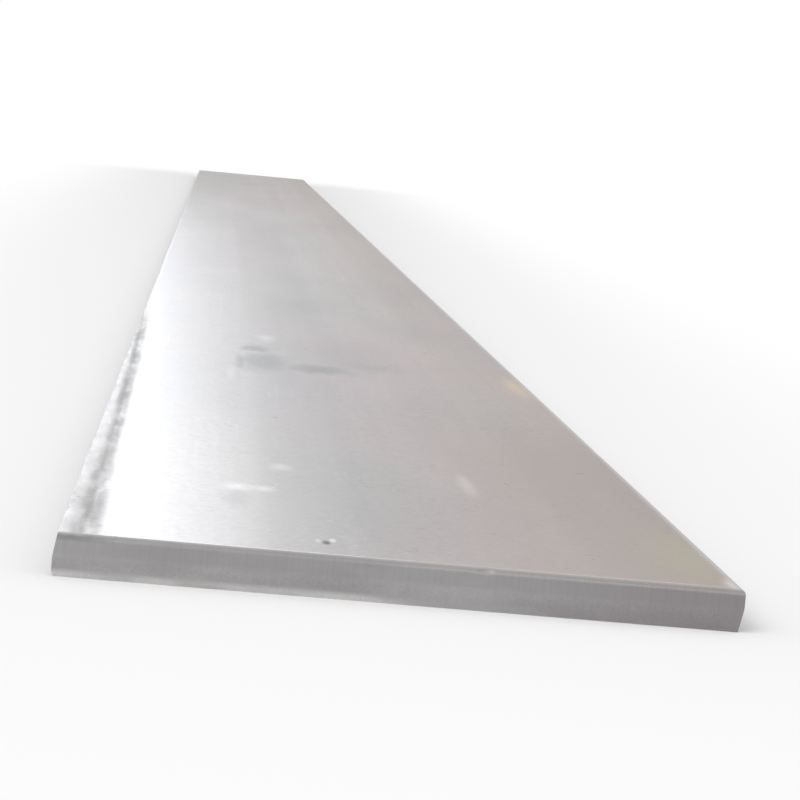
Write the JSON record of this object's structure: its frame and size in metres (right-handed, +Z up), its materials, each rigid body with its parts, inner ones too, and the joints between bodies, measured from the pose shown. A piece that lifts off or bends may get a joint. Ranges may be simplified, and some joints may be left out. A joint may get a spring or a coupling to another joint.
{
  "type": "steel flat bar",
  "caption": "Long hot-rolled steel flat bar with a plain rectangular section, sheared edges and square sheared ends, in mill scale, lying on its broad face.",
  "frame": {"origin": "under the middle of the bar, on the level that its lower broad face rests on", "axes": "+Y along the length with the near end at -Y, +X across the width, +Z up through the thickness"},
  "size_m": [0.25, 6, 0.016],
  "materials": {
    "mill_scale_steel": "hot-rolled mill scale, satin, with bare sheared edges and ends"
  },
  "bodies": {
    "root": {"flat_bar": "mill_scale_steel"}
  },
  "joints": []
}
